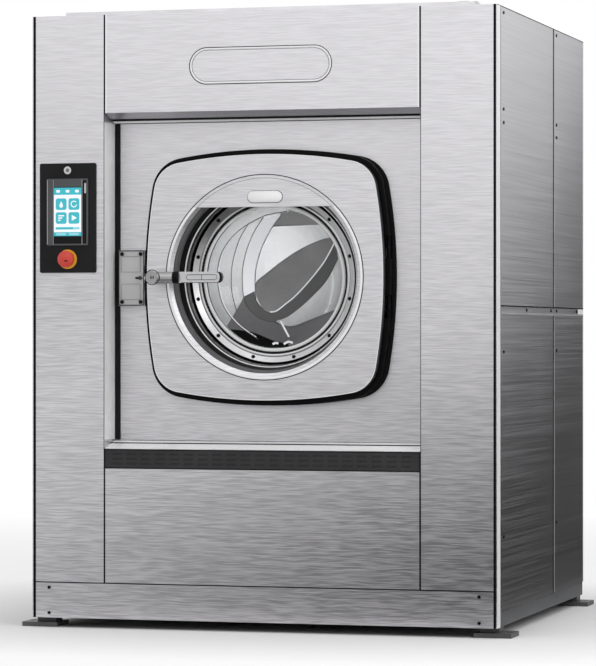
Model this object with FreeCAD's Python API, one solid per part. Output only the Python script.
import FreeCAD, Part
import math
import os

Vec = FreeCAD.Vector

# A hard-mounted laundry washer-extractor, in millimetres.
# X runs to the viewer's right, Y from the front to the back, Z up from the floor.
# The origin is on the floor, in the middle of the four anchor holes.

# Cabinet sizes
WIDTH = 1480.0            # across the two sides
DEPTH = 1340.0            # front sheet to rear sheet
HEIGHT = 1900.0           # floor to the top of the fascia
FLOOR_GAP = 30.0          # floor to the underside of the base frame
SHEET = 2.0               # stainless cabinet sheet
SEAM = 2.0                # open joint between two sheets
PAN_DEPTH = 30.0          # folded edge of a front panel
COLUMN_WIDTH = 236.0      # one front column, left or right
CORNER_RETURN = 45.0      # the column's fold round the front corner
PLINTH_HEIGHT = 109.0
LOWER_PANEL_HEIGHT = 357.0
LOUVRE_HEIGHT = 60.0
SILL_RISE = 26.0          # sloped sill under the door recess
FASCIA_HEIGHT = 304.0
LIP_DROP = 29.0           # sloped lip over the door recess
RECESS_DEPTH = 105.0      # front sheet back to the door panel
SURROUND_SHEET = 3.0      # sheet that carries the door, seal and lock
SURROUND_LAP = 26.0       # how far that sheet reaches behind the columns
SIDE_FRONT_DEPTH = 842.0  # from the front to the joint of the side panels
SIDE_BOTTOM = 74.0        # lower edge of the side panels
MID_RAIL_Z = 986.5
MID_RAIL_HEIGHT = 19.0
MID_RAIL_DEPTH = 20.0
MID_RAIL_TAIL = 18.0      # strip of the rail that laps the rear post

# Frame sizes
POST = 60.0               # square section of posts and base members
TUBE_WALL = 4.0
BASE_HEIGHT = 80.0
RING_TUBE = 40.0          # square section of the upper ring
FOOT_WIDTH = 115.0
FOOT_LENGTH = 110.0
FOOT_THICKNESS = 14.0
FOOT_OVERHANG = 40.0      # plate showing outside the cabinet
FOOT_INSET = 70.0         # plate centre, in from the front or back
ANCHOR_HOLE = 18.0
ANCHOR_EDGE = 18.0        # hole centre, in from the plate's outer edge

# Top cover and vent
COVER_INSET = 85.0        # raised middle, in from the cabinet's side
COVER_SETBACK = 70.0
COVER_RISE = 17.0
VENT_RADIUS = 34.0
VENT_RISE = 4.0
VENT_EDGE = 34.0          # vent centre, in from the raised middle's side
VENT_SETBACK = 55.0       # vent centre, behind the cover's front edge

# Fascia badge field, left blank
BADGE_WIDTH = 456.0
BADGE_HEIGHT = 115.0
BADGE_GROOVE = 6.0
BADGE_GROOVE_DEPTH = 1.0
BADGE_DROP = 165.5        # field centre, below the top

# Louvre slots
SLOT_ROWS = 3
SLOT_PITCH = 46.0
SLOT_LENGTH = 30.0
SLOT_HEIGHT = 6.0
SLOT_ROW_PITCH = 15.0
LOUVRE_THICKNESS = 4.0

# Control plate on the left column
CONTROL_WIDTH = 185.0
CONTROL_HEIGHT = 340.0
CONTROL_CORNER = 6.0
CONTROL_THICKNESS = 4.0
CONTROL_RISE = 186.0      # plate's middle, above the drum axis
SCREEN_WIDTH = 136.0
SCREEN_HEIGHT = 207.0
SCREEN_RISE = 18.5        # screen's middle, above the plate's
SCREEN_PROUD = 5.0
SCREEN_BODY_INSET = 14.0
SCREEN_BODY_DEPTH = 42.0
GLASS_INSET = 5.0         # bezel border round the screen glass
GLASS_THICKNESS = 2.0
KEY_RISE = 148.0          # key, above the plate's middle
KEY_RADIUS = 12.0
KEY_BODY_RADIUS = 9.5
KEY_BODY_DEPTH = 34.0
KEY_FLANGE = 3.0
KEY_BARREL_RADIUS = 6.0
KEY_BARREL_DEPTH = 22.0
KEY_SLOT_WIDTH = 2.0
KEY_SLOT_HEIGHT = 8.0
KEY_SLOT_DEPTH = 3.0
STOP_DROP = 128.0         # emergency stop, below the plate's middle
STOP_COLLAR_RADIUS = 30.0
STOP_COLLAR_THICKNESS = 3.0
STOP_HUB_RADIUS = 15.0
STOP_HUB_LENGTH = 5.0
STOP_BODY_RADIUS = 11.0
STOP_BODY_DEPTH = 40.0
STOP_STEM_RADIUS = 6.0
STOP_HEAD_RADIUS = 25.5
STOP_HEAD_LENGTH = 9.0
STOP_HEAD_CROWN = 7.0
STOP_TRAVEL = 5.0

# Door
DOOR_FOOTROOM = 110.0     # share of the recess under the door frame
DOOR_HEADROOM = 87.0      # and over it
DOOR_DEPTH = 40.0         # front sheet back to the door skin
SKIN_INSET = 17.0         # skin's edge, in from the black frame's
SIDE_ARC = 1620.0         # bow of the four sides
CORNER_ARC = 92.0
SKIN_RETURN = 30.0
FRAME_THICKNESS = 21.5
SEAL_GAP = 0.5
PORT_BORDER = 72.0        # port's edge, in from the skin's
PORT_LIP = 10.0
PORT_LIP_DROP = 6.0
VISOR_HEIGHT = 89.0       # visor's lower edge, below the port's top
VISOR_GAP = 1.0
LINER_FLANGE = 30.0
LINER_FLANGE_THICKNESS = 4.0
LINER_WALL = 8.0
LINER_DEPTH = 112.0       # length of the tapered wall
LINER_TAPER = 33.0        # how far the wall draws in on its way back
CLAMP_WIDTH = 17.0
CLAMP_RISE = 10.0
CLAMP_THICKNESS = 10.0
CLAMP_SCREWS = 12
CLAMP_SCREW_HEAD = 5.0
CLAMP_SCREW_HEAD_THICKNESS = 4.0
CLAMP_SCREW_SHANK = 2.5
CLAMP_SCREW_LENGTH = 11.0
GASKET_DEPTH = 12.0
GASKET_LIP = 3.0          # thickness of the gasket's two lips
GASKET_LAP = 2.0          # front lip over the glass rim
GASKET_BACK_LAP = 10.0
GASKET_WIDTH = 7.0        # between the clamp ring's bore and the glass
GLASS_RIM_WIDTH = 13.0
GLASS_WALL = 10.0
GLASS_BULGE = 110.0
SEAL_WIDTH = 26.0
SEAL_INSET = 28.0         # seal's edge, in from the black frame's

# Hinge
HINGE_RADIUS = 7.0
HINGE_PIN_RADIUS = 4.0
HINGE_PITCH = 180.0       # between the middles of the two hinges
HINGE_KNUCKLE = 34.0
HINGE_END_GAP = 0.4
HINGE_INSET = 10.0        # pin centre, in from the frame's widest place
HINGE_LEAF_REACH = 10.0
HINGE_SETBACK = 7.5       # pin centre, forward of the frame's back
HINGE_NOTCH = 5.0
HINGE_LEAF = 4.0

# Handle and lock
HANDLE_INSET = 49.0       # handle's pivot, in from the black frame's edge
HANDLE_PROUD = 60.0       # boss face, forward of the skin
BOSS_RADIUS = 20.0
SPINDLE_RADIUS = 10.0
SPINDLE_INSET = 15.0      # spindle end, behind the boss face
SPANNER_HOLE = 4.0
SPANNER_SPACING = 9.0
SPANNER_DEPTH = 3.0
ARM_RADIUS = 18.0
ARM_REACH = 67.0
COLLAR_LENGTH = 20.0
COLLAR_RADIUS = 19.0
GRIP_LENGTH = 139.0
GRIP_HEIGHT = 34.0
GRIP_THICKNESS = 18.0
GROOVE_LENGTH = 98.0
GROOVE_HEIGHT = 16.0
GROOVE_WIDTH = 2.0
GROOVE_DEPTH = 1.0
TONGUE_REACH = 68.0
TONGUE_HEIGHT = 10.0
TONGUE_THICKNESS = 5.0
TONGUE_BACK = 2.5         # tongue's back face, forward of the frame's back
LOCK_WIDTH = 85.0
LOCK_HEIGHT = 173.0
LOCK_THICKNESS = 30.0
LOCK_GAP = 3.0            # between the lock and the door frame's edge
LOCK_SIDE_GAP = 22.0      # between the lock and the column
LOCK_NOTCH = 13.0
LOCK_COVER = 2.0
BOLT_WIDTH = 14.0
BOLT_THICKNESS = 5.4
BOLT_LENGTH = 46.0
BOLT_TRAVEL = 17.0
BOLT_STANDOFF = 2.0       # retracted bolt above the notch
ROLLER_RADIUS = 5.0
ROLLER_HEIGHT = 24.0
ROLLER_SPREAD = 26.0
LOCK_SCREW_INSET = 12.0

# Tub, drum and drive
TUB_RADIUS = 590.0
TUB_WALL = 4.0
TUB_FRONT_THICKNESS = 10.0
TUB_BACK_THICKNESS = 20.0
TUB_MOUTH_LAP = 12.0      # tub's mouth over the drum's
DRUM_GAP = 40.0           # drum to tub
DRUM_WALL = 4.0
DRUM_BACK_THICKNESS = 12.0
DRUM_FRONT_GAP = 32.0
MOUTH_GAP = 30.0          # drum's mouth round the liner's end
DRUM_LIP = 18.0
LIFTERS = 3
LIFTER_WIDTH = 170.0
LIFTER_TOP = 70.0
LIFTER_HEIGHT = 110.0
LIFTER_END_GAP = 20.0
LIFTER_WALL = 3.0
SHAFT_RADIUS = 50.0
SHAFT_FLANGE_RADIUS = 160.0
SHAFT_FLANGE = 20.0
SHAFT_TAIL = 10.0
FLANGE_GAP = 5.0
SHAFT_SEAL_GAP = 3.0
BEARING_RADIUS = 90.0
BEARING_WIDTH = 40.0
HOUSING_RADIUS = 125.0
HOUSING_LENGTH = 235.0
HOUSING_FLANGE_RADIUS = 200.0
HOUSING_FLANGE = 20.0
HOUSING_END_WALL = 15.0
PEDESTAL_FOOT = 440.0
PEDESTAL_THICKNESS = 50.0
PULLEY_RADIUS = 350.0
PULLEY_WIDTH = 80.0
PULLEY_GAP = 20.0
PULLEY_RIM = 24.0
PULLEY_WEB = 16.0
PULLEY_HUB = 90.0
PULLEY_HOLES = 6
PULLEY_HOLE_RADIUS = 60.0
MOTOR_PULLEY_RADIUS = 80.0
BELTS = 4
BELT_WIDTH = 12.0
BELT_THICKNESS = 10.0
MOTOR_X = -420.0
MOTOR_Z = 300.0
MOTOR_RADIUS = 130.0
MOTOR_LENGTH = 380.0
MOTOR_FOOT = 230.0
MOTOR_GAP = 80.0          # motor end to its pulley
MOTOR_SHAFT_RADIUS = 25.0
MOTOR_SHAFT_INSERT = 120.0
REAR_SPACE = 68.0         # shaft end to the rear sheet
SADDLE_INSET = 140.0      # saddle centres, in from the ends of the tub
SADDLE_HALF_ANGLE = 28.0

# Services
INLET_RADIUS = 16.6
INLET_REACH = 40.0
INLET_DROP = 140.0        # inlets, below the top
INLET_X = 420.0
INLET_SPACING = 160.0
VALVE_WIDTH = 70.0
VALVE_HEIGHT = 90.0
VALVE_DEPTH = 80.0
DRAIN_RADIUS = 51.0
DRAIN_WALL = 6.0
DRAIN_SPIGOT = 55.0       # outside radius of the outlet for a 110 mm pipe
DRAIN_X = 345.0           # outlet, beside the bearing pedestal
DRAIN_Z = 200.0
DRAIN_SETBACK = 410.0     # drain centre, behind the tub's front
DRAIN_REACH = 60.0
DISC_THICKNESS = 6.0
DISC_SPINDLE_RADIUS = 6.0
DISC_LEVER = 26.0         # spindle showing outside the pipe
GLAND_RADIUS = 16.0
GLAND_BORE = 9.0
GLAND_LENGTH = 26.0
GLAND_FLANGE_RADIUS = 22.0
GLAND_FLANGE = 6.0
GLAND_INSET = 178.0       # gland, in from the side sheet
GLAND_DROP = 200.0        # and below the top
BOX_WIDTH = 150.0
BOX_HEIGHT = 360.0
BOX_DEPTH = 300.0
BOX_DROP = 250.0          # box's middle, below the top
BOX_SIDE_GAP = 10.0

# Cabinet screws
SCREW_HEAD = 5.0
SCREW_HEAD_THICKNESS = 2.5
SCREW_SHANK = 2.5
PLINTH_SCREW_INSET = 55.0
PLINTH_SCREW_EDGE = 15.0
SIDE_SCREW_SETBACK = 45.0     # from the corner fold
SIDE_SCREW_HEIGHTS = (300.0, 858.0)
SIDE_SCREW_DROPS = (350.0, 309.0, 18.0)    # below the top

# Clearances
RUNNING = 0.05            # shafts in their bores
FIT = 0.3                 # curved faces of neighbours
EASY = 1.0                # holes round what passes through

# Values worked out from the sizes above
FRONT_Y = -DEPTH / 2
SIDE_X = WIDTH / 2
INNER_X = SIDE_X - SHEET
COLUMN_X = SIDE_X - COLUMN_WIDTH
FRAME_HALF = COLUMN_X - LOCK_SIDE_GAP - LOCK_WIDTH - LOCK_GAP    # black frame behind the skin
FIELD_X = COLUMN_X - SEAM
PLINTH_TOP = FLOOR_GAP + PLINTH_HEIGHT
LOUVRE_BOTTOM = PLINTH_TOP + LOWER_PANEL_HEIGHT
LOUVRE_TOP = LOUVRE_BOTTOM + LOUVRE_HEIGHT
SILL_TOP = LOUVRE_TOP + SILL_RISE
FASCIA_BOTTOM = HEIGHT - FASCIA_HEIGHT
LIP_BOTTOM = FASCIA_BOTTOM - LIP_DROP
DOOR_SPARE = LIP_BOTTOM - SILL_TOP - 2 * FRAME_HALF
DOOR_LOW_SHARE = DOOR_FOOTROOM / (DOOR_FOOTROOM + DOOR_HEADROOM)
AXIS_Z = SILL_TOP + DOOR_SPARE * DOOR_LOW_SHARE + FRAME_HALF    # drum axis and middle of the door
BASE_TOP = FLOOR_GAP + BASE_HEIGHT
RING_TOP = HEIGHT - SHEET
COLUMN_MID_X = -(SIDE_X - COLUMN_WIDTH / 2)
COVER_HALF = SIDE_X - COVER_INSET
VENT_X = COVER_HALF - VENT_EDGE
BADGE_Z = HEIGHT - BADGE_DROP
CONTROL_Z = AXIS_Z + CONTROL_RISE
SCREEN_Z = CONTROL_Z + SCREEN_RISE
KEY_Z = CONTROL_Z + KEY_RISE
STOP_Z = CONTROL_Z - STOP_DROP
SKIN_HALF = FRAME_HALF - SKIN_INSET
SEAL_HALF = FRAME_HALF - SEAL_INSET
PORT_RADIUS = SKIN_HALF - PORT_BORDER
LINER_TOP_RADIUS = PORT_RADIUS - PORT_LIP
CLAMP_OUTER = LINER_TOP_RADIUS - LINER_TAPER
CLAMP_INNER = CLAMP_OUTER - CLAMP_WIDTH
GLASS_RIM = CLAMP_INNER - GASKET_WIDTH
GLASS_INNER = GLASS_RIM - GLASS_RIM_WIDTH
DRUM_MOUTH = CLAMP_OUTER + LINER_WALL + MOUTH_GAP
TUB_MOUTH = DRUM_MOUTH + TUB_MOUTH_LAP
DRUM_RADIUS = TUB_RADIUS - DRUM_GAP
HANDLE_X = HANDLE_INSET - FRAME_HALF
HINGE_SPREAD = HINGE_PITCH / 2
SURROUND_BACK = RECESS_DEPTH + SURROUND_SHEET
FRAME_FRONT = DOOR_DEPTH + SKIN_RETURN
FRAME_BACK = FRAME_FRONT + FRAME_THICKNESS
HINGE_X = FRAME_HALF - HINGE_INSET
HINGE_D = FRAME_BACK - HINGE_SETBACK
LINER_FRONT = DOOR_DEPTH + PORT_LIP_DROP + SHEET
CLAMP_SEAT = LINER_FRONT + LINER_DEPTH
GASKET_SEAT = CLAMP_SEAT + GASKET_DEPTH
LINER_BACK = GASKET_SEAT + LINER_WALL
TUB_FRONT_D = SURROUND_BACK + TUB_FRONT_THICKNESS
DRUM_FRONT_D = TUB_FRONT_D + DRUM_FRONT_GAP
SHAFT_END_D = DEPTH - SHEET - REAR_SPACE
PULLEY_BACK_D = SHAFT_END_D - SHAFT_TAIL
PULLEY_FRONT_D = PULLEY_BACK_D - PULLEY_WIDTH
HOUSING_END_D = PULLEY_FRONT_D - PULLEY_GAP
TUB_BACK_END_D = HOUSING_END_D - HOUSING_LENGTH
TUB_BACK_D = TUB_BACK_END_D - TUB_BACK_THICKNESS
FLANGE_END_D = TUB_BACK_D - FLANGE_GAP
DRUM_BACK_D = FLANGE_END_D - SHAFT_FLANGE
MOTOR_END_D = PULLEY_FRONT_D - MOTOR_GAP
MOTOR_START_D = MOTOR_END_D - MOTOR_LENGTH
DRAIN_D = SURROUND_BACK + DRAIN_SETBACK
DISC_Z = (AXIS_Z - TUB_RADIUS + DRAIN_Z + DRAIN_RADIUS + DRAIN_WALL) / 2
INLET_Z = HEIGHT - INLET_DROP
GLAND_X = GLAND_INSET - INNER_X
GLAND_Z = HEIGHT - GLAND_DROP
BOX_Z = HEIGHT - BOX_DROP
SADDLE_FRONT_D = TUB_FRONT_D + SADDLE_INSET
SADDLE_REAR_D = TUB_BACK_D - SADDLE_INSET
PEDESTAL_D = (TUB_BACK_END_D + HOUSING_FLANGE + HOUSING_END_D - PEDESTAL_THICKNESS) / 2
LOCK_RIGHT_X = -(FRAME_HALF + LOCK_GAP)
LOCK_LEFT_X = LOCK_RIGHT_X - LOCK_WIDTH
LOCK_FRONT_D = RECESS_DEPTH - LOCK_THICKNESS
TONGUE_BACK_D = FRAME_BACK - TONGUE_BACK
TONGUE_FRONT_D = TONGUE_BACK_D - TONGUE_THICKNESS
TONGUE_SWEEP = math.hypot(TONGUE_REACH, TONGUE_HEIGHT / 2) + EASY
HANDLE_D = DOOR_DEPTH - HANDLE_PROUD + COLLAR_RADIUS + EASY


# Shapes used everywhere


def at(x, depth, z):
    """A point given by its depth behind the front sheet."""
    return Vec(x, FRONT_Y + depth, z)


def box(x0, x1, d0, d1, z0, z1):
    return Part.makeBox(x1 - x0, d1 - d0, z1 - z0, at(x0, d0, z0))


def rod_x(depth, z, radius, x0, x1):
    return Part.makeCylinder(radius, x1 - x0, at(x0, depth, z), Vec(1, 0, 0))


def rod_y(x, z, radius, d0, d1):
    return Part.makeCylinder(radius, d1 - d0, at(x, d0, z), Vec(0, 1, 0))


def rod_z(x, depth, radius, z0, z1):
    return Part.makeCylinder(radius, z1 - z0, at(x, depth, z0), Vec(0, 0, 1))


def ring_y(x, z, outer, inner, d0, d1):
    return rod_y(x, z, outer, d0, d1).cut(rod_y(x, z, inner, d0, d1))


def turned(points, x=0.0, z=AXIS_Z):
    """A solid turned about a line along Y, from corners given as (radius, depth)."""
    corners = [at(x + radius, depth, z) for radius, depth in points]
    face = Part.Face(Part.makePolygon(corners + corners[:1]))
    return face.revolve(at(x, 0, z), Vec(0, 1, 0), 360)


def slab(points, d0, d1):
    """A plate with its outline given as (x, z) corners."""
    corners = [at(x, d0, z) for x, z in points]
    face = Part.Face(Part.makePolygon(corners + corners[:1]))
    return face.extrude(Vec(0, d1 - d0, 0))


def strip(points, x0, x1):
    """A bar along X with its section given as (depth, z) corners."""
    corners = [at(x0, depth, z) for depth, z in points]
    face = Part.Face(Part.makePolygon(corners + corners[:1]))
    return face.extrude(Vec(x1 - x0, 0, 0))


def joined(first, *others):
    return first.multiFuse(list(others)).removeSplitter()


def mirrored(shape):
    return shape.mirror(Vec(0, 0, 0), Vec(1, 0, 0))


def rounded_plate(x, z, width, height, corner, d0, d1):
    plate = box(x - width / 2, x + width / 2, d0, d1, z - height / 2, z + height / 2)
    uprights = [edge for edge in plate.Edges if abs(edge.tangentAt(0).y) > 0.5]
    return plate.makeFillet(corner, uprights)


def racetrack(x, z, width, height, d0, d1):
    end = (width - height) / 2
    middle = box(x - end, x + end, d0, d1, z - height / 2, z + height / 2)
    left = rod_y(x - end, z, height / 2, d0, d1)
    right = rod_y(x + end, z, height / 2, d0, d1)
    return joined(middle, left, right)


def bowed_square(half, d0, d1):
    """The door's outline: bowed sides and round corners, parallel to the skin's edge."""
    side = SIDE_ARC + half - SKIN_HALF
    corner = CORNER_ARC + half - SKIN_HALF
    middle = half - side
    turn = (middle + math.sqrt(2 * (side - corner) ** 2 - middle ** 2)) / 2
    reach = side / (side - corner)
    touch_x = middle + (turn - middle) * reach
    touch_z = turn * reach
    tip = turn + corner / math.sqrt(2)
    edges = []
    for quarter in range(4):
        c = math.cos(quarter * math.pi / 2)
        s = math.sin(quarter * math.pi / 2)
        spots = ((touch_x, -touch_z), (half, 0), (touch_x, touch_z), (tip, tip), (touch_z, touch_x))
        points = [at(c * u - s * v, d0, AXIS_Z + s * u + c * v) for u, v in spots]
        edges.append(Part.Arc(*points[0:3]).toShape())
        edges.append(Part.Arc(*points[2:5]).toShape())
    face = Part.Face(Part.Wire(edges))
    return face.extrude(Vec(0, d1 - d0, 0))


def pan(x0, x1, z0, z1):
    """A front panel with its four edges folded back."""
    outer = box(x0, x1, 0, PAN_DEPTH, z0, z1)
    return outer.cut(box(x0 + SHEET, x1 - SHEET, SHEET, PAN_DEPTH, z0 + SHEET, z1 - SHEET))


def tube_x(x0, x1, d0, d1, z0, z1):
    hollow = box(x0, x1, d0 + TUBE_WALL, d1 - TUBE_WALL, z0 + TUBE_WALL, z1 - TUBE_WALL)
    return box(x0, x1, d0, d1, z0, z1).cut(hollow)


def tube_y(x0, x1, d0, d1, z0, z1):
    hollow = box(x0 + TUBE_WALL, x1 - TUBE_WALL, d0, d1, z0 + TUBE_WALL, z1 - TUBE_WALL)
    return box(x0, x1, d0, d1, z0, z1).cut(hollow)


def tube_z(x0, x1, d0, d1, z0, z1):
    hollow = box(x0 + TUBE_WALL, x1 - TUBE_WALL, d0 + TUBE_WALL, d1 - TUBE_WALL, z0, z1)
    return box(x0, x1, d0, d1, z0, z1).cut(hollow)


# Screws of the cabinet


def screw(place, outward):
    head = Part.makeCylinder(SCREW_HEAD, SCREW_HEAD_THICKNESS, place, outward)
    shank = Part.makeCylinder(SCREW_SHANK, SHEET, place, outward * -1)
    return joined(head, shank)


def screw_hole(place, outward):
    return Part.makeCylinder(SCREW_SHANK + FIT, SHEET, place, outward * -1)


def plinth_screw_places():
    x = SIDE_X - PLINTH_SCREW_INSET
    low = FLOOR_GAP + PLINTH_SCREW_EDGE
    high = PLINTH_TOP - PLINTH_SCREW_EDGE
    return [at(side * x, 0, z) for side in (-1, 1) for z in (low, high)]


def side_screw_places(side):
    front = CORNER_RETURN + SIDE_SCREW_SETBACK
    rear = SIDE_FRONT_DEPTH + SIDE_SCREW_SETBACK
    levels = SIDE_SCREW_HEIGHTS + tuple(HEIGHT - drop for drop in SIDE_SCREW_DROPS)
    return [at(side * SIDE_X, depth, z) for depth in (front, rear) for z in levels]


def rail_screw_places(side):
    joint = SIDE_FRONT_DEPTH
    depths = (joint / 2, joint - SIDE_SCREW_SETBACK, joint + SIDE_SCREW_SETBACK, DEPTH - 2 * POST)
    return [at(side * SIDE_X, depth, MID_RAIL_Z) for depth in depths]


def lock_screw_places():
    xs = (LOCK_LEFT_X + LOCK_SCREW_INSET, LOCK_RIGHT_X - LOCK_SCREW_INSET)
    rise = LOCK_HEIGHT / 2 - LOCK_SCREW_INSET
    return [at(x, LOCK_FRONT_D, AXIS_Z + up) for x in xs for up in (-rise, rise)]


def panel_screws():
    forward = Vec(0, -1, 0)
    screws = [screw(place, forward) for place in plinth_screw_places() + lock_screw_places()]
    for side in (-1, 1):
        outward = Vec(side, 0, 0)
        screws += [screw(place, outward) for place in side_screw_places(side) + rail_screw_places(side)]
    return screws


# Frame and feet


def base_frame():
    inner = INNER_X - POST
    rail = tube_y(inner, INNER_X, SHEET, DEPTH - SHEET, FLOOR_GAP, BASE_TOP)
    members = [rail, mirrored(rail)]
    half = POST / 2
    middles = (SHEET + half, SADDLE_FRONT_D, MOTOR_START_D + half, PEDESTAL_D + PEDESTAL_THICKNESS / 2)
    for middle in middles + (DEPTH - SHEET - half,):
        members.append(tube_x(-inner, inner, middle - half, middle + half, FLOOR_GAP, BASE_TOP))
    for middle in (SADDLE_FRONT_D, SADDLE_REAR_D):
        members.append(saddle(middle))
    return joined(*members)


def saddle(middle):
    """A plate under the tub, cut to its curve."""
    reach = (TUB_RADIUS + FIT) * math.sin(math.radians(SADDLE_HALF_ANGLE))
    d0 = middle - TUB_WALL
    d1 = middle + TUB_WALL
    top = AXIS_Z - (TUB_RADIUS + FIT) * math.cos(math.radians(SADDLE_HALF_ANGLE))
    plate = box(-reach, reach, d0, d1, BASE_TOP, top)
    return plate.cut(rod_y(0, AXIS_Z, TUB_RADIUS + FIT, d0, d1))


def foot_plates():
    outer = SIDE_X + FOOT_OVERHANG
    feet = []
    for middle in (FOOT_INSET, DEPTH - FOOT_INSET):
        d0 = middle - FOOT_LENGTH / 2
        d1 = middle + FOOT_LENGTH / 2
        plate = box(outer - FOOT_WIDTH, outer, d0, d1, 0, FOOT_THICKNESS)
        half = POST / 2
        stub = box(INNER_X - POST, INNER_X, middle - half, middle + half, FOOT_THICKNESS, FLOOR_GAP)
        hole = rod_z(outer - ANCHOR_EDGE, middle, ANCHOR_HOLE / 2, 0, FOOT_THICKNESS)
        foot = joined(plate, stub).cut(hole)
        feet += [foot, mirrored(foot)]
    return feet


def cabinet_frame():
    inner = INNER_X - POST
    rear = DEPTH - SHEET
    front_post = tube_z(inner, INNER_X, SHEET, SHEET + POST, BASE_TOP, RING_TOP)
    rear_post = tube_z(inner, INNER_X, rear - POST, rear, BASE_TOP, RING_TOP)
    low = RING_TOP - RING_TUBE
    side = tube_y(INNER_X - RING_TUBE, INNER_X, SHEET + POST, rear - POST, low, RING_TOP)
    front = tube_x(-inner, inner, PAN_DEPTH, PAN_DEPTH + RING_TUBE, low, RING_TOP)
    back = tube_x(-inner, inner, rear - RING_TUBE, rear, low, RING_TOP)
    pairs = [part for piece in (front_post, rear_post, side) for part in (piece, mirrored(piece))]
    return joined(front, back, *pairs)


def side_mid_rails():
    low = MID_RAIL_Z - MID_RAIL_HEIGHT / 2
    high = MID_RAIL_Z + MID_RAIL_HEIGHT / 2
    rear = DEPTH - SHEET - POST
    bar = box(INNER_X - MID_RAIL_DEPTH, INNER_X, SHEET + POST, rear, low, high)
    face = box(INNER_X, SIDE_X, CORNER_RETURN + SEAM, rear + MID_RAIL_TAIL, low, high)
    holes = [screw_hole(place, Vec(1, 0, 0)) for place in rail_screw_places(1)]
    rail = joined(bar, face).cut(holes)
    return [rail, mirrored(rail)]


# Outer panels


def column_panel():
    """The right column: front sheet, corner fold, recess wall and top fold."""
    z0 = PLINTH_TOP + SEAM
    front = box(COLUMN_X, SIDE_X, 0, SHEET, z0, HEIGHT)
    corner = box(INNER_X, SIDE_X, 0, CORNER_RETURN, z0, HEIGHT)
    wall = box(COLUMN_X, COLUMN_X + SHEET, 0, RECESS_DEPTH, z0, FASCIA_BOTTOM + PAN_DEPTH)
    top = box(COLUMN_X, SIDE_X, 0, PAN_DEPTH, RING_TOP, HEIGHT)
    return joined(front, corner, wall, top)


def control_cutouts(d0, d1):
    """Holes for what passes through the control plate and the column behind it."""
    border = 2 * (SCREEN_BODY_INSET - FIT)
    screen = rounded_plate(COLUMN_MID_X, SCREEN_Z, SCREEN_WIDTH - border, SCREEN_HEIGHT - border, EASY, d0, d1)
    key = rod_y(COLUMN_MID_X, KEY_Z, KEY_BODY_RADIUS + FIT, d0, d1)
    stop = rod_y(COLUMN_MID_X, STOP_Z, STOP_BODY_RADIUS + FIT, d0, d1)
    return [screen, key, stop]


def left_column_panel():
    return mirrored(column_panel()).cut(control_cutouts(0, SHEET))


def top_fascia():
    panel = pan(-FIELD_X, FIELD_X, FASCIA_BOTTOM, HEIGHT)
    lip = strip([(0, FASCIA_BOTTOM), (0, FASCIA_BOTTOM + SHEET),
                 (RECESS_DEPTH, LIP_BOTTOM + SHEET), (RECESS_DEPTH, LIP_BOTTOM)], -FIELD_X, FIELD_X)
    groove = racetrack(0, BADGE_Z, BADGE_WIDTH, BADGE_HEIGHT, 0, BADGE_GROOVE_DEPTH)
    inner = racetrack(0, BADGE_Z, BADGE_WIDTH - 2 * BADGE_GROOVE, BADGE_HEIGHT - 2 * BADGE_GROOVE,
                      0, BADGE_GROOVE_DEPTH)
    return joined(panel, lip).cut(groove.cut(inner))


def door_surround_panel():
    half = COLUMN_X + SURROUND_LAP
    sheet = box(-half, half, RECESS_DEPTH, SURROUND_BACK, SILL_TOP - PAN_DEPTH, LIP_BOTTOM + PAN_DEPTH)
    sill = strip([(0, LOUVRE_TOP), (0, LOUVRE_TOP + SHEET),
                  (RECESS_DEPTH, SILL_TOP), (RECESS_DEPTH, SILL_TOP - SHEET)], -FIELD_X, FIELD_X)
    mouth = rod_y(0, AXIS_Z, TUB_MOUTH, RECESS_DEPTH, SURROUND_BACK)
    return joined(sheet, sill).cut(mouth)


def louvre_strip():
    bar = box(-FIELD_X, FIELD_X, 0, LOUVRE_THICKNESS, LOUVRE_BOTTOM, LOUVRE_TOP)
    columns = int((2 * FIELD_X - SLOT_LENGTH) // SLOT_PITCH)
    middle = (LOUVRE_BOTTOM + LOUVRE_TOP) / 2
    slots = []
    for row in range(SLOT_ROWS):
        z = middle + (row - (SLOT_ROWS - 1) / 2) * SLOT_ROW_PITCH
        for column in range(columns):
            x = (column - (columns - 1) / 2) * SLOT_PITCH
            slots.append(box(x - SLOT_LENGTH / 2, x + SLOT_LENGTH / 2, 0, LOUVRE_THICKNESS,
                             z - SLOT_HEIGHT / 2, z + SLOT_HEIGHT / 2))
    return bar.cut(slots)


def lower_front_panel():
    """Hung between the columns on a pad at each side."""
    panel = pan(-FIELD_X, FIELD_X, PLINTH_TOP + SEAM, LOUVRE_BOTTOM)
    middle = (PLINTH_TOP + LOUVRE_BOTTOM) / 2
    pad = box(FIELD_X, COLUMN_X, PAN_DEPTH / 2, PAN_DEPTH, middle - POST, middle + POST)
    return joined(panel, pad, mirrored(pad))


def plinth():
    front = box(-SIDE_X, SIDE_X, 0, SHEET, FLOOR_GAP, PLINTH_TOP)
    corner = box(INNER_X, SIDE_X, 0, CORNER_RETURN, FLOOR_GAP, PLINTH_TOP)
    holes = [screw_hole(place, Vec(0, -1, 0)) for place in plinth_screw_places()]
    return joined(front, corner, mirrored(corner)).cut(holes)


def right_side_panels():
    rail_low = MID_RAIL_Z - MID_RAIL_HEIGHT / 2
    rail_high = MID_RAIL_Z + MID_RAIL_HEIGHT / 2
    joint = SIDE_FRONT_DEPTH
    holes = [screw_hole(place, Vec(1, 0, 0)) for place in side_screw_places(1)]
    panels = []
    for d0, d1 in ((CORNER_RETURN + SEAM, joint), (joint + SEAM, DEPTH)):
        for z0, z1 in ((SIDE_BOTTOM, rail_low), (rail_high, HEIGHT)):
            panels.append(box(INNER_X, SIDE_X, d0, d1, z0, z1).cut(holes))
    return panels


def left_side_panels():
    return [mirrored(panel) for panel in right_side_panels()]


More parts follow.
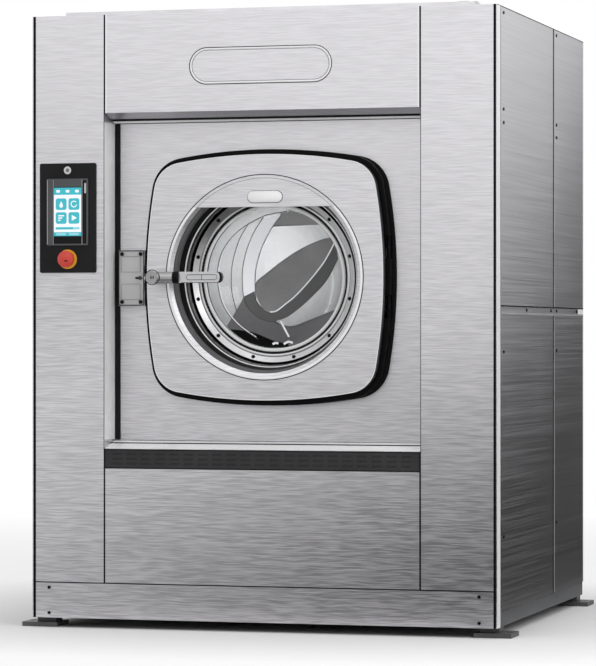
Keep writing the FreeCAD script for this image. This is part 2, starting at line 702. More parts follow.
def rear_panel():
    rear = DEPTH - SHEET
    sheet = box(-INNER_X, INNER_X, rear, DEPTH, SIDE_BOTTOM, RING_TOP)
    holes = [rod_y(x, INLET_Z, INLET_RADIUS + EASY, rear, DEPTH) for x in inlet_places()]
    holes.append(rod_y(DRAIN_X, DRAIN_Z, DRAIN_RADIUS + DRAIN_WALL + FIT, rear, DEPTH))
    holes.append(rod_y(GLAND_X, GLAND_Z, GLAND_RADIUS, rear, DEPTH))
    return sheet.cut(holes)


def top_cover():
    """A flat lid on the ring, with its middle pressed up."""
    rear = DEPTH - SHEET
    sheet = box(-INNER_X, INNER_X, PAN_DEPTH, rear, RING_TOP, HEIGHT)
    raised = box(-COVER_HALF, COVER_HALF, COVER_SETBACK, rear - COVER_SETBACK, RING_TOP, HEIGHT + COVER_RISE)
    hollow = box(-COVER_HALF + SHEET, COVER_HALF - SHEET, COVER_SETBACK + SHEET,
                 rear - COVER_SETBACK - SHEET, RING_TOP, HEIGHT + COVER_RISE - SHEET)
    vent = rod_z(VENT_X, COVER_SETBACK + VENT_SETBACK, VENT_RADIUS - SHEET - FIT, RING_TOP, HEIGHT + COVER_RISE)
    return joined(sheet, raised).cut([hollow, vent])


def vent_cap():
    top = HEIGHT + COVER_RISE
    depth = COVER_SETBACK + VENT_SETBACK
    neck = VENT_RADIUS - SHEET - 2 * FIT
    disc = rod_z(VENT_X, depth, VENT_RADIUS, top, top + VENT_RISE)
    pipe = rod_z(VENT_X, depth, neck, RING_TOP - RING_TUBE, top)
    bore = rod_z(VENT_X, depth, neck - SHEET, RING_TOP - RING_TUBE, top + VENT_RISE)
    return joined(disc, pipe).cut(bore)


# Controls


def control_plate():
    plate = rounded_plate(COLUMN_MID_X, CONTROL_Z, CONTROL_WIDTH, CONTROL_HEIGHT, CONTROL_CORNER,
                          -CONTROL_THICKNESS, 0)
    return plate.cut(control_cutouts(-CONTROL_THICKNESS, 0))


def screen_slab(inset, corner, d0, d1):
    return rounded_plate(COLUMN_MID_X, SCREEN_Z, SCREEN_WIDTH - 2 * inset, SCREEN_HEIGHT - 2 * inset,
                         corner, d0, d1)


def touch_screen_housing():
    front = -CONTROL_THICKNESS - SCREEN_PROUD
    bezel = screen_slab(0, GLASS_INSET, front, -CONTROL_THICKNESS)
    body = screen_slab(SCREEN_BODY_INSET, EASY, -CONTROL_THICKNESS, SCREEN_BODY_DEPTH)
    pocket = screen_slab(GLASS_INSET, EASY, front, front + GLASS_THICKNESS)
    return joined(bezel, body).cut(pocket)


def touch_screen_glass():
    front = -CONTROL_THICKNESS - SCREEN_PROUD
    return screen_slab(GLASS_INSET + FIT, EASY, front, front + GLASS_THICKNESS)


def key_switch_body():
    front = -CONTROL_THICKNESS - KEY_FLANGE
    flange = rod_y(COLUMN_MID_X, KEY_Z, KEY_RADIUS, front, -CONTROL_THICKNESS)
    body = rod_y(COLUMN_MID_X, KEY_Z, KEY_BODY_RADIUS, -CONTROL_THICKNESS, KEY_BODY_DEPTH)
    bore = rod_y(COLUMN_MID_X, KEY_Z, KEY_BARREL_RADIUS + RUNNING, front, front + KEY_BARREL_DEPTH)
    return joined(flange, body).cut(bore)


def key_barrel():
    front = -CONTROL_THICKNESS - KEY_FLANGE
    barrel = rod_y(COLUMN_MID_X, KEY_Z, KEY_BARREL_RADIUS, front, front + KEY_BARREL_DEPTH)
    wide = KEY_SLOT_WIDTH / 2
    high = KEY_SLOT_HEIGHT / 2
    slot = box(COLUMN_MID_X - wide, COLUMN_MID_X + wide, front, front + KEY_SLOT_DEPTH, KEY_Z - high,
               KEY_Z + high)
    return barrel.cut(slot)


STOP_FACE_D = -CONTROL_THICKNESS - STOP_COLLAR_THICKNESS
STOP_HUB_D = STOP_FACE_D - STOP_HUB_LENGTH
STOP_HEAD_BACK_D = STOP_HUB_D - STOP_TRAVEL - EASY
STOP_HEAD_RIM_D = STOP_HEAD_BACK_D - STOP_HEAD_LENGTH
STOP_STEM_END_D = STOP_BODY_DEPTH / 2


def emergency_stop_collar():
    collar = rod_y(COLUMN_MID_X, STOP_Z, STOP_COLLAR_RADIUS, STOP_FACE_D, -CONTROL_THICKNESS)
    hub = rod_y(COLUMN_MID_X, STOP_Z, STOP_HUB_RADIUS, STOP_HUB_D, STOP_FACE_D)
    body = rod_y(COLUMN_MID_X, STOP_Z, STOP_BODY_RADIUS, -CONTROL_THICKNESS, STOP_BODY_DEPTH)
    bore_end = STOP_STEM_END_D + STOP_TRAVEL + EASY
    bore = rod_y(COLUMN_MID_X, STOP_Z, STOP_STEM_RADIUS + RUNNING, STOP_HUB_D, bore_end)
    return joined(collar, hub, body).cut(bore)


def emergency_stop_stem():
    return rod_y(COLUMN_MID_X, STOP_Z, STOP_STEM_RADIUS, STOP_HEAD_RIM_D, STOP_STEM_END_D)


def emergency_stop_head():
    """A mushroom with a domed front, bored for its stem."""
    def spot(radius, depth):
        return at(COLUMN_MID_X + radius, depth, STOP_Z)

    ball = (STOP_HEAD_RADIUS ** 2 + STOP_HEAD_CROWN ** 2) / (2 * STOP_HEAD_CROWN)
    half_turn = math.asin(STOP_HEAD_RADIUS / ball) / 2
    tip_d = STOP_HEAD_RIM_D - STOP_HEAD_CROWN
    between = spot(ball * math.sin(half_turn), tip_d + ball - ball * math.cos(half_turn))
    bore = STOP_STEM_RADIUS + RUNNING
    path = [spot(0, tip_d), spot(0, STOP_HEAD_RIM_D), spot(bore, STOP_HEAD_RIM_D), spot(bore, STOP_HEAD_BACK_D),
            spot(STOP_HEAD_RADIUS, STOP_HEAD_BACK_D), spot(STOP_HEAD_RADIUS, STOP_HEAD_RIM_D)]
    lines = [Part.makeLine(path[i], path[i + 1]) for i in range(len(path) - 1)]
    dome = Part.Arc(path[-1], between, path[0]).toShape()
    face = Part.Face(Part.Wire(lines + [dome]))
    return face.revolve(spot(0, 0), Vec(0, 1, 0), 360)


# Door


LINER_HOLE = LINER_TOP_RADIUS + LINER_WALL + FIT
LINER_FLANGE_BACK = LINER_FRONT + LINER_FLANGE_THICKNESS
CHORD_Z = AXIS_Z + PORT_RADIUS - VISOR_HEIGHT


def door_skin():
    outer = bowed_square(SKIN_HALF, DOOR_DEPTH, FRAME_FRONT)
    hollow = bowed_square(SKIN_HALF - SHEET, DOOR_DEPTH + SHEET, FRAME_FRONT)
    port = rod_y(0, AXIS_Z, PORT_RADIUS, DOOR_DEPTH, DOOR_DEPTH + SHEET)
    spindle = rod_y(HANDLE_X, AXIS_Z, SPINDLE_RADIUS + EASY, DOOR_DEPTH, DOOR_DEPTH + SHEET)
    lip = turned([(PORT_RADIUS, DOOR_DEPTH), (LINER_TOP_RADIUS, DOOR_DEPTH + PORT_LIP_DROP),
                  (LINER_TOP_RADIUS, LINER_FRONT), (PORT_RADIUS, DOOR_DEPTH + SHEET)])
    visor = box(-PORT_RADIUS, PORT_RADIUS, DOOR_DEPTH, LINER_FRONT, CHORD_Z - VISOR_GAP, AXIS_Z + PORT_RADIUS)
    return joined(outer.cut([hollow, port, spindle]), lip.cut(visor))


def visor_plate():
    disc = rod_y(0, AXIS_Z, PORT_RADIUS - VISOR_GAP, DOOR_DEPTH, LINER_FRONT)
    return disc.common(box(-PORT_RADIUS, PORT_RADIUS, DOOR_DEPTH, LINER_FRONT, CHORD_Z, AXIS_Z + PORT_RADIUS))


def port_liner():
    flange = LINER_TOP_RADIUS + LINER_FLANGE
    bore = GLASS_INNER + EASY
    return turned([(LINER_TOP_RADIUS, LINER_FRONT), (flange, LINER_FRONT), (flange, LINER_FLANGE_BACK),
                   (LINER_TOP_RADIUS + LINER_WALL, LINER_FLANGE_BACK), (CLAMP_OUTER + LINER_WALL, LINER_BACK),
                   (bore, LINER_BACK), (bore, GASKET_SEAT), (CLAMP_INNER + FIT, GASKET_SEAT),
                   (CLAMP_INNER + FIT, CLAMP_SEAT), (CLAMP_OUTER, CLAMP_SEAT)])


def clamp_screw_places():
    radius = (CLAMP_INNER + CLAMP_OUTER) / 2
    step = 2 * math.pi / CLAMP_SCREWS
    angles = [(number + 0.5) * step for number in range(CLAMP_SCREWS)]
    return [(radius * math.cos(angle), AXIS_Z + radius * math.sin(angle)) for angle in angles]


CLAMP_SCREW_SEAT = CLAMP_SEAT - CLAMP_SCREW_LENGTH
CLAMP_FRONT = CLAMP_SEAT - CLAMP_THICKNESS


def glass_clamp_ring():
    outer = CLAMP_OUTER - FIT
    ring = turned([(CLAMP_INNER, CLAMP_SEAT), (CLAMP_INNER, CLAMP_FRONT),
                   (outer, CLAMP_FRONT - CLAMP_RISE), (outer, CLAMP_SEAT)])
    holes = []
    for x, z in clamp_screw_places():
        holes.append(rod_y(x, z, CLAMP_SCREW_HEAD + FIT, CLAMP_FRONT - CLAMP_RISE, CLAMP_SCREW_SEAT))
        holes.append(rod_y(x, z, CLAMP_SCREW_SHANK + FIT, CLAMP_SCREW_SEAT, CLAMP_SEAT))
    return ring.cut(holes)


def clamp_ring_screws():
    screws = []
    for x, z in clamp_screw_places():
        head = rod_y(x, z, CLAMP_SCREW_HEAD, CLAMP_SCREW_SEAT - CLAMP_SCREW_HEAD_THICKNESS, CLAMP_SCREW_SEAT)
        shank = rod_y(x, z, CLAMP_SCREW_SHANK, CLAMP_SCREW_SEAT, CLAMP_SEAT)
        screws.append(joined(head, shank))
    return screws


GLASS_FRONT = CLAMP_FRONT + GASKET_LIP
GLASS_BACK = GASKET_SEAT - GASKET_LIP


def glass_gasket():
    outer = CLAMP_INNER - FIT
    groove = GLASS_RIM + FIT
    front_lip = GLASS_RIM - GASKET_LAP
    back_lip = GLASS_RIM - GASKET_BACK_LAP
    return turned([(front_lip, CLAMP_FRONT), (outer, CLAMP_FRONT), (outer, GASKET_SEAT), (back_lip,
                  GASKET_SEAT),
                   (back_lip, GLASS_BACK), (groove, GLASS_BACK), (groove, GLASS_FRONT), (front_lip,
                    GLASS_FRONT)])


def door_glass():
    """A bowl with a flat rim, bulging into the drum."""
    inner = (GLASS_INNER ** 2 + GLASS_BULGE ** 2) / (2 * GLASS_BULGE)
    outer = inner + GLASS_WALL
    apex = GLASS_FRONT + GLASS_BULGE
    centre = apex - inner
    foot = math.sqrt(outer ** 2 - (GLASS_BACK - centre) ** 2)

    def on_bowl(radius, share, end):
        angle = share * math.atan2(end[0], end[1] - centre)
        return at(radius * math.sin(angle), centre + radius * math.cos(angle), AXIS_Z)

    rim = [at(GLASS_INNER, GLASS_FRONT, AXIS_Z), at(GLASS_RIM, GLASS_FRONT, AXIS_Z),
           at(GLASS_RIM, GLASS_BACK, AXIS_Z), at(foot, GLASS_BACK, AXIS_Z)]
    tip_in = at(0, apex, AXIS_Z)
    tip_out = at(0, apex + GLASS_WALL, AXIS_Z)
    inside = Part.Arc(tip_in, on_bowl(inner, 0.5, (GLASS_INNER, GLASS_FRONT)), rim[0]).toShape()
    outside = Part.Arc(rim[3], on_bowl(outer, 0.5, (foot, GLASS_BACK)), tip_out).toShape()
    lines = [Part.makeLine(rim[i], rim[i + 1]) for i in range(3)]
    face = Part.Face(Part.Wire([inside] + lines + [outside, Part.makeLine(tip_out, tip_in)]))
    return face.revolve(at(0, 0, AXIS_Z), Vec(0, 1, 0), 360)


def hinge_levels():
    return [AXIS_Z - HINGE_SPREAD, AXIS_Z + HINGE_SPREAD]


def door_back_frame():
    """The black frame behind the skin, with its two hinge knuckles."""
    plate = bowed_square(FRAME_HALF, FRAME_FRONT, FRAME_BACK)
    collar = rod_y(0, AXIS_Z, LINER_TOP_RADIUS + LINER_FLANGE, LINER_FLANGE_BACK, FRAME_FRONT)
    cuts = [rod_y(0, AXIS_Z, LINER_HOLE, LINER_FLANGE_BACK, FRAME_BACK)]
    cuts.append(rod_y(HANDLE_X, AXIS_Z, TONGUE_SWEEP, TONGUE_FRONT_D - EASY, FRAME_BACK))
    cuts.append(rod_y(HANDLE_X, AXIS_Z, SPINDLE_RADIUS + RUNNING, FRAME_FRONT, FRAME_BACK))
    notch_x = HINGE_X - HINGE_RADIUS - HINGE_NOTCH
    for level in hinge_levels():
        cuts.append(box(notch_x, FRAME_HALF + EASY, FRAME_FRONT, FRAME_BACK,
                        level - HINGE_KNUCKLE - EASY, level + HINGE_KNUCKLE + EASY))
    knuckles = []
    for level in hinge_levels():
        low = level + HINGE_END_GAP / 2
        high = level + HINGE_KNUCKLE
        barrel = rod_z(HINGE_X, HINGE_D, HINGE_RADIUS, low, high)
        tab = box(notch_x, HINGE_X, HINGE_D - HINGE_NOTCH, HINGE_D + HINGE_NOTCH, low, high)
        pin = rod_z(HINGE_X, HINGE_D, HINGE_PIN_RADIUS + RUNNING, low, high)
        knuckles.append(joined(barrel, tab).cut(pin))
    return joined(joined(plate, collar).cut(cuts), *knuckles)


def hinge_brackets():
    brackets = []
    for level in hinge_levels():
        low = level - HINGE_KNUCKLE
        high = level - HINGE_END_GAP / 2
        barrel = rod_z(HINGE_X, HINGE_D, HINGE_RADIUS, low, high)
        arm = box(HINGE_X - HINGE_NOTCH, HINGE_X + HINGE_NOTCH, HINGE_D, RECESS_DEPTH, low, high)
        leaf = box(HINGE_X - HINGE_LEAF_REACH, HINGE_X + HINGE_RADIUS, RECESS_DEPTH - HINGE_LEAF, RECESS_DEPTH,
                   low, level + HINGE_KNUCKLE)
        pin = rod_z(HINGE_X, HINGE_D, HINGE_PIN_RADIUS + RUNNING, low, high)
        brackets.append(joined(barrel, arm, leaf).cut(pin))
    return brackets


def hinge_pins():
    return [rod_z(HINGE_X, HINGE_D, HINGE_PIN_RADIUS, level - HINGE_KNUCKLE, level + HINGE_KNUCKLE)
            for level in hinge_levels()]


def door_seal():
    front = FRAME_BACK + SEAL_GAP
    outer = bowed_square(SEAL_HALF, front, RECESS_DEPTH)
    return outer.cut(bowed_square(SEAL_HALF - SEAL_WIDTH, front, RECESS_DEPTH))


# Handle and lock


BOSS_FACE_D = DOOR_DEPTH - HANDLE_PROUD
ARM_END_X = HANDLE_X + ARM_REACH
COLLAR_END_X = ARM_END_X + COLLAR_LENGTH
GRIP_END_X = COLLAR_END_X + GRIP_LENGTH


def handle_arm():
    boss = rod_y(HANDLE_X, AXIS_Z, BOSS_RADIUS, BOSS_FACE_D, DOOR_DEPTH - FIT)
    arm = rod_x(HANDLE_D, AXIS_Z, ARM_RADIUS, HANDLE_X, ARM_END_X)
    cuts = [rod_y(HANDLE_X, AXIS_Z, SPINDLE_RADIUS + RUNNING, BOSS_FACE_D + SPINDLE_INSET, DOOR_DEPTH)]
    for side in (-1, 1):
        z = AXIS_Z + side * SPANNER_SPACING / 2
        cuts.append(rod_y(HANDLE_X, z, SPANNER_HOLE / 2, BOSS_FACE_D, BOSS_FACE_D + SPANNER_DEPTH))
    return joined(boss, arm).cut(cuts)


def handle_collar():
    return rod_x(HANDLE_D, AXIS_Z, COLLAR_RADIUS, ARM_END_X, COLLAR_END_X)


def handle_grip():
    front = HANDLE_D - GRIP_THICKNESS / 2
    back = HANDLE_D + GRIP_THICKNESS / 2
    half = GRIP_HEIGHT / 2
    bar = box(COLLAR_END_X, GRIP_END_X - half, front, back, AXIS_Z - half, AXIS_Z + half)
    end = rod_y(GRIP_END_X - half, AXIS_Z, half, front, back)
    middle = (COLLAR_END_X + GRIP_END_X) / 2
    outer = racetrack(middle, AXIS_Z, GROOVE_LENGTH, GROOVE_HEIGHT, front, front + GROOVE_DEPTH)
    inner = racetrack(middle, AXIS_Z, GROOVE_LENGTH - 2 * GROOVE_WIDTH, GROOVE_HEIGHT - 2 * GROOVE_WIDTH,
                      front, front + GROOVE_DEPTH)
    divider = box(middle - GROOVE_WIDTH, middle + GROOVE_WIDTH, front, front + GROOVE_DEPTH,
                  AXIS_Z - GROOVE_HEIGHT / 2, AXIS_Z + GROOVE_HEIGHT / 2)
    return joined(bar, end).cut([outer.cut(inner), divider])


def latch_spindle():
    spindle = rod_y(HANDLE_X, AXIS_Z, SPINDLE_RADIUS, BOSS_FACE_D + SPINDLE_INSET, TONGUE_BACK_D)
    half = TONGUE_HEIGHT / 2
    tongue = box(HANDLE_X - TONGUE_REACH, HANDLE_X, TONGUE_FRONT_D, TONGUE_BACK_D, AXIS_Z - half, AXIS_Z + half)
    return joined(spindle, tongue)


BOLT_FRONT_D = LOCK_FRONT_D + LOCK_COVER + FIT
BOLT_BACK_D = BOLT_FRONT_D + BOLT_THICKNESS
BOLT_X = HANDLE_X - TONGUE_SWEEP + BOLT_WIDTH / 2
BOLT_LOW_Z = AXIS_Z + LOCK_NOTCH / 2 + BOLT_STANDOFF


def lock_housing():
    high = LOCK_HEIGHT / 2
    block = box(LOCK_LEFT_X, LOCK_RIGHT_X, LOCK_FRONT_D, RECESS_DEPTH, AXIS_Z - high, AXIS_Z + high)
    rollers = []
    for side in (-1, 1):
        middle = AXIS_Z + side * ROLLER_SPREAD
        rollers.append(rod_z(LOCK_RIGHT_X - ROLLER_RADIUS, LOCK_FRONT_D, ROLLER_RADIUS,
                             middle - ROLLER_HEIGHT / 2, middle + ROLLER_HEIGHT / 2))
    notch_x = HANDLE_X - TONGUE_SWEEP - EASY
    half = LOCK_NOTCH / 2
    notch = box(notch_x, LOCK_RIGHT_X, LOCK_FRONT_D - ROLLER_RADIUS, TONGUE_BACK_D + EASY,
                AXIS_Z - half, AXIS_Z + half)
    sweep = rod_y(HANDLE_X, AXIS_Z, TONGUE_SWEEP, TONGUE_FRONT_D - EASY, TONGUE_BACK_D + EASY)
    below = box(notch_x, LOCK_RIGHT_X, TONGUE_FRONT_D - EASY, TONGUE_BACK_D + EASY, AXIS_Z - high, AXIS_Z)
    wide = BOLT_WIDTH / 2 + FIT
    slot = box(BOLT_X - wide, BOLT_X + wide, BOLT_FRONT_D - FIT, BOLT_BACK_D + FIT,
               BOLT_LOW_Z - BOLT_TRAVEL - EASY, BOLT_LOW_Z + BOLT_LENGTH + EASY)
    holes = [screw_hole(place, Vec(0, -1, 0)) for place in lock_screw_places()]
    return joined(block, *rollers).cut([notch, sweep.common(below), slot] + holes)


def lock_bolt():
    half = BOLT_WIDTH / 2
    return box(BOLT_X - half, BOLT_X + half, BOLT_FRONT_D, BOLT_BACK_D, BOLT_LOW_Z, BOLT_LOW_Z + BOLT_LENGTH)


# Tub and drum


def tub_front():
    return ring_y(0, AXIS_Z, TUB_RADIUS, TUB_MOUTH, SURROUND_BACK, TUB_FRONT_D)


def tub_shell():
    wall = ring_y(0, AXIS_Z, TUB_RADIUS, TUB_RADIUS - TUB_WALL, TUB_FRONT_D, TUB_BACK_D)
    back = ring_y(0, AXIS_Z, TUB_RADIUS, SHAFT_RADIUS + SHAFT_SEAL_GAP, TUB_BACK_D, TUB_BACK_END_D)
    drain = rod_z(0, DRAIN_D, DRAIN_RADIUS, AXIS_Z - TUB_RADIUS - TUB_WALL, AXIS_Z)
    return joined(wall, back).cut(drain)


def drum_shell():
    inner = DRUM_RADIUS - DRUM_WALL
    face = DRUM_FRONT_D + DRUM_WALL
    back = DRUM_BACK_D - DRUM_BACK_THICKNESS
    return turned([(inner, face), (DRUM_RADIUS, face), (DRUM_RADIUS, DRUM_BACK_D),
                   (0, DRUM_BACK_D), (0, back), (inner, back)])


def drum_front():
    """The ring that closes the drum, rolled in at its mouth."""
    face = DRUM_FRONT_D + DRUM_WALL
    lip = DRUM_MOUTH + DRUM_WALL
    return turned([(DRUM_MOUTH, DRUM_FRONT_D), (DRUM_RADIUS, DRUM_FRONT_D), (DRUM_RADIUS, face),
                   (lip, face), (lip, face + DRUM_LIP), (DRUM_MOUTH, face + DRUM_LIP)])


def lifter_wedge(thin, d0, d1):
    """A lifter's outline at the foot of the drum, drawn in by thin."""
    base = AXIS_Z - DRUM_RADIUS
    top = AXIS_Z - DRUM_RADIUS + DRUM_WALL + LIFTER_HEIGHT - thin
    foot = LIFTER_WIDTH / 2 - thin
    crest = LIFTER_TOP / 2 - thin / 2
    return slab([(-foot, base), (foot, base), (crest, top), (-crest, top)], d0, d1)


def drum_lifters():
    """Pressed sheet ribs, open where they sit on the drum."""
    inner = DRUM_RADIUS - DRUM_WALL
    d0 = DRUM_FRONT_D + DRUM_WALL + LIFTER_END_GAP
    d1 = DRUM_BACK_D - DRUM_BACK_THICKNESS - LIFTER_END_GAP
    rib = lifter_wedge(0, d0, d1).cut(lifter_wedge(LIFTER_WALL, d0 + LIFTER_WALL, d1 - LIFTER_WALL))
    first = rib.common(rod_y(0, AXIS_Z, inner - FIT, d0, d1))
    lifters = []
    for number in range(LIFTERS):
        lifter = first.copy()
        lifter.rotate(at(0, 0, AXIS_Z), Vec(0, 1, 0), number * 360 / LIFTERS)
        lifters.append(lifter)
    return lifters


# Drive


def main_shaft():
    flange = rod_y(0, AXIS_Z, SHAFT_FLANGE_RADIUS, DRUM_BACK_D, FLANGE_END_D)
    return joined(flange, rod_y(0, AXIS_Z, SHAFT_RADIUS, FLANGE_END_D, SHAFT_END_D))


def bearing_housing():
    flange = rod_y(0, AXIS_Z, HOUSING_FLANGE_RADIUS, TUB_BACK_END_D, TUB_BACK_END_D + HOUSING_FLANGE)
    barrel = rod_y(0, AXIS_Z, HOUSING_RADIUS, TUB_BACK_END_D, HOUSING_END_D)
    foot = PEDESTAL_FOOT / 2
    pedestal = slab([(-foot, BASE_TOP), (foot, BASE_TOP), (HOUSING_RADIUS, AXIS_Z), (-HOUSING_RADIUS, AXIS_Z)],
                    PEDESTAL_D, PEDESTAL_D + PEDESTAL_THICKNESS)
    bore = rod_y(0, AXIS_Z, BEARING_RADIUS + RUNNING, TUB_BACK_END_D, HOUSING_END_D)
    return joined(flange, barrel, pedestal).cut(bore)


def shaft_bearings():
    front = TUB_BACK_END_D + HOUSING_END_WALL
    rear = HOUSING_END_D - HOUSING_END_WALL - BEARING_WIDTH
    return [ring_y(0, AXIS_Z, BEARING_RADIUS, SHAFT_RADIUS + RUNNING, depth, depth + BEARING_WIDTH)
            for depth in (front, rear)]


def drum_pulley():
    middle = (PULLEY_FRONT_D + PULLEY_BACK_D) / 2
    bore = SHAFT_RADIUS + RUNNING
    rim = ring_y(0, AXIS_Z, PULLEY_RADIUS, PULLEY_RADIUS - PULLEY_RIM, PULLEY_FRONT_D, PULLEY_BACK_D)
    web = ring_y(0, AXIS_Z, PULLEY_RADIUS - PULLEY_RIM, bore, middle - PULLEY_WEB / 2, middle + PULLEY_WEB / 2)
    hub = ring_y(0, AXIS_Z, PULLEY_HUB, bore, PULLEY_FRONT_D, PULLEY_BACK_D)
    radius = (PULLEY_RADIUS - PULLEY_RIM + PULLEY_HUB) / 2
    holes = []
    for number in range(PULLEY_HOLES):
        angle = number * 2 * math.pi / PULLEY_HOLES
        holes.append(rod_y(radius * math.cos(angle), AXIS_Z + radius * math.sin(angle), PULLEY_HOLE_RADIUS,
                           PULLEY_FRONT_D, PULLEY_BACK_D))
    return joined(rim, web, hub).cut(holes)


def belt_loop(grow, d0, d1):
    """The filled outline of a belt round both pulleys, drawn out by grow."""
    large = PULLEY_RADIUS + grow
    small = MOTOR_PULLEY_RADIUS + grow
    run_x = MOTOR_X
    run_z = MOTOR_Z - AXIS_Z
    line = math.atan2(run_z, run_x)
    lean = math.acos((large - small) / math.hypot(run_x, run_z))

    def on_large(angle):
        return at(large * math.cos(angle), d0, AXIS_Z + large * math.sin(angle))

    def on_small(angle):
        return at(MOTOR_X + small * math.cos(angle), d0, MOTOR_Z + small * math.sin(angle))

    edges = [Part.makeLine(on_large(line + lean), on_small(line + lean)),
             Part.Arc(on_small(line + lean), on_small(line), on_small(line - lean)).toShape(),
             Part.makeLine(on_small(line - lean), on_large(line - lean)),
             Part.Arc(on_large(line - lean), on_large(line + math.pi), on_large(line + lean)).toShape()]
    return Part.Face(Part.Wire(edges)).extrude(Vec(0, d1 - d0, 0))


def drive_belts():
    pitch = PULLEY_WIDTH / BELTS
    belts = []
    for number in range(BELTS):
        d0 = PULLEY_FRONT_D + (number + 0.5) * pitch - BELT_WIDTH / 2
        d1 = d0 + BELT_WIDTH
        belts.append(belt_loop(FIT + BELT_THICKNESS, d0, d1).cut(belt_loop(FIT, d0, d1)))
    return belts


def motor_body():
    half = MOTOR_FOOT / 2
    barrel = rod_y(MOTOR_X, MOTOR_Z, MOTOR_RADIUS, MOTOR_START_D, MOTOR_END_D)
    foot = box(MOTOR_X - half, MOTOR_X + half, MOTOR_START_D, MOTOR_END_D, BASE_TOP, MOTOR_Z - MOTOR_RADIUS / 2)
    bore = rod_y(MOTOR_X, MOTOR_Z, MOTOR_SHAFT_RADIUS + RUNNING,
                 MOTOR_END_D - MOTOR_SHAFT_INSERT - EASY, MOTOR_END_D)
    return joined(barrel, foot).cut(bore)


def motor_rotor():
    shaft = rod_y(MOTOR_X, MOTOR_Z, MOTOR_SHAFT_RADIUS, MOTOR_END_D - MOTOR_SHAFT_INSERT, PULLEY_BACK_D)
    return joined(shaft, rod_y(MOTOR_X, MOTOR_Z, MOTOR_PULLEY_RADIUS, PULLEY_FRONT_D, PULLEY_BACK_D))


# Services


def inlet_places():
    return [INLET_X - INLET_SPACING / 2, INLET_X + INLET_SPACING / 2]


def water_inlet_valves():
    rear = DEPTH - SHEET
    valves = []
    for x in inlet_places():
        body = box(x - VALVE_WIDTH / 2, x + VALVE_WIDTH / 2, rear - VALVE_DEPTH, rear,
                   INLET_Z - VALVE_HEIGHT / 2, INLET_Z + VALVE_HEIGHT / 2)
        stub = rod_y(x, INLET_Z, INLET_RADIUS, rear, DEPTH + INLET_REACH)
        bore = rod_y(x, INLET_Z, INLET_RADIUS - TUBE_WALL, rear, DEPTH + INLET_REACH)
        valves.append(joined(body, stub).cut(bore))
    return valves


def drain_run(radius, top, end):
    """Down from the tub, across and out at the back, with round elbows."""
    down = rod_z(0, DRAIN_D, radius, DRAIN_Z, top)
    across = rod_x(DRAIN_D, DRAIN_Z, radius, 0, DRAIN_X)
    out = rod_y(DRAIN_X, DRAIN_Z, radius, DRAIN_D, end)
    elbows = [Part.makeSphere(radius, at(x, DRAIN_D, DRAIN_Z)) for x in (0, DRAIN_X)]
    return joined(down, across, out, *elbows)


def drain_valve_body():
    top = AXIS_Z - math.sqrt(TUB_RADIUS ** 2 - (DRAIN_RADIUS + DRAIN_WALL) ** 2)
    pipe = drain_run(DRAIN_RADIUS + DRAIN_WALL, top, DEPTH)
    spigot = rod_y(DRAIN_X, DRAIN_Z, DRAIN_SPIGOT, DEPTH, DEPTH + DRAIN_REACH)
    inner = drain_run(DRAIN_RADIUS, top, DEPTH + DRAIN_REACH)
    tub = rod_y(0, AXIS_Z, TUB_RADIUS + FIT, TUB_FRONT_D, TUB_BACK_D)
    reach = DRAIN_RADIUS + 2 * DRAIN_WALL
    spindle = rod_x(DRAIN_D, DISC_Z, DISC_SPINDLE_RADIUS + RUNNING, -reach, reach)
    return joined(pipe, spigot).cut([inner, tub, spindle])


def drain_valve_disc():
    half = DISC_THICKNESS / 2
    disc = rod_z(0, DRAIN_D, DRAIN_RADIUS - 2 * FIT, DISC_Z - half, DISC_Z + half)
    reach = DRAIN_RADIUS + DRAIN_WALL + DISC_LEVER
    return joined(disc, rod_x(DRAIN_D, DISC_Z, DISC_SPINDLE_RADIUS, -reach, reach))


def cable_gland():
    rear = DEPTH - SHEET
    body = rod_y(GLAND_X, GLAND_Z, GLAND_RADIUS - FIT, rear, rear + GLAND_LENGTH)
    flange = rod_y(GLAND_X, GLAND_Z, GLAND_FLANGE_RADIUS, DEPTH, DEPTH + GLAND_FLANGE)
    return joined(body, flange).cut(rod_y(GLAND_X, GLAND_Z, GLAND_BORE, rear, rear + GLAND_LENGTH))


def electrical_box():
    left = -INNER_X + BOX_SIDE_GAP
    front = SHEET + POST
    low = BOX_Z - BOX_HEIGHT / 2
    high = BOX_Z + BOX_HEIGHT / 2
    case = box(left, left + BOX_WIDTH, front, front + BOX_DEPTH, low, high)
    return case.cut(box(left + SHEET, left + BOX_WIDTH - SHEET, front + SHEET, front + BOX_DEPTH,
                        low + SHEET, high - SHEET))


# One file for each piece or set of like pieces

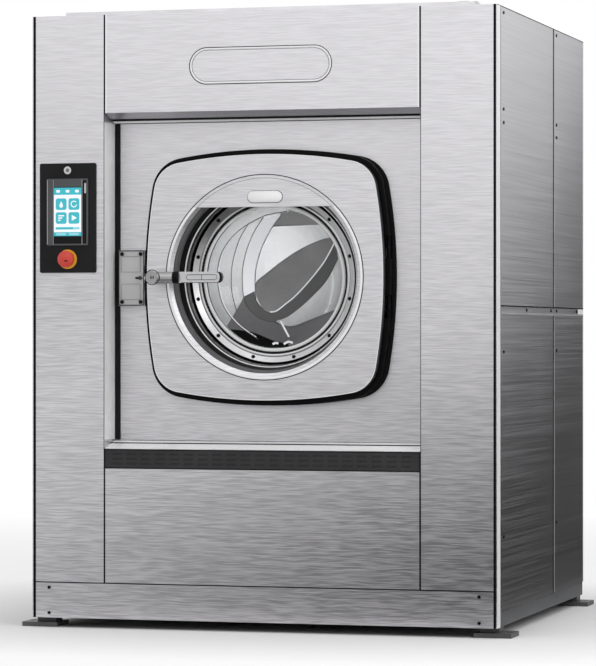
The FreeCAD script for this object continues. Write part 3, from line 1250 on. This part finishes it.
PARTS = {
    "base_frame": base_frame,
    "foot_plates": foot_plates,
    "cabinet_frame": cabinet_frame,
    "side_mid_rails": side_mid_rails,
    "left_column_panel": left_column_panel,
    "right_column_panel": column_panel,
    "top_fascia": top_fascia,
    "door_surround_panel": door_surround_panel,
    "louvre_strip": louvre_strip,
    "lower_front_panel": lower_front_panel,
    "plinth": plinth,
    "right_side_panels": right_side_panels,
    "left_side_panels": left_side_panels,
    "rear_panel": rear_panel,
    "top_cover": top_cover,
    "vent_cap": vent_cap,
    "panel_screws": panel_screws,
    "control_plate": control_plate,
    "touch_screen_housing": touch_screen_housing,
    "touch_screen_glass": touch_screen_glass,
    "key_switch_body": key_switch_body,
    "key_barrel": key_barrel,
    "emergency_stop_collar": emergency_stop_collar,
    "emergency_stop_stem": emergency_stop_stem,
    "emergency_stop_head": emergency_stop_head,
    "door_skin": door_skin,
    "visor_plate": visor_plate,
    "door_back_frame": door_back_frame,
    "port_liner": port_liner,
    "glass_clamp_ring": glass_clamp_ring,
    "clamp_ring_screws": clamp_ring_screws,
    "glass_gasket": glass_gasket,
    "door_glass": door_glass,
    "hinge_brackets": hinge_brackets,
    "hinge_pins": hinge_pins,
    "door_seal": door_seal,
    "handle_arm": handle_arm,
    "handle_collar": handle_collar,
    "handle_grip": handle_grip,
    "latch_spindle": latch_spindle,
    "lock_housing": lock_housing,
    "lock_bolt": lock_bolt,
    "tub_front": tub_front,
    "tub_shell": tub_shell,
    "drum_shell": drum_shell,
    "drum_front": drum_front,
    "drum_lifters": drum_lifters,
    "main_shaft": main_shaft,
    "bearing_housing": bearing_housing,
    "shaft_bearings": shaft_bearings,
    "drum_pulley": drum_pulley,
    "drive_belts": drive_belts,
    "motor_body": motor_body,
    "motor_rotor": motor_rotor,
    "water_inlet_valves": water_inlet_valves,
    "drain_valve_body": drain_valve_body,
    "drain_valve_disc": drain_valve_disc,
    "cable_gland": cable_gland,
    "electrical_box": electrical_box,
}


def save(node, made):
    pieces = made if isinstance(made, list) else [made]
    solids = [solid for piece in pieces for solid in piece.Solids]
    shape = solids[0] if len(solids) == 1 else Part.makeCompound(solids)
    shape.exportStep("parts/" + node + ".step")
    print(node, len(solids), "solids", round(shape.Volume / 1000), "cm3", "valid", shape.isValid())


os.makedirs("parts", exist_ok=True)
for node, make in PARTS.items():
    save(node, make())
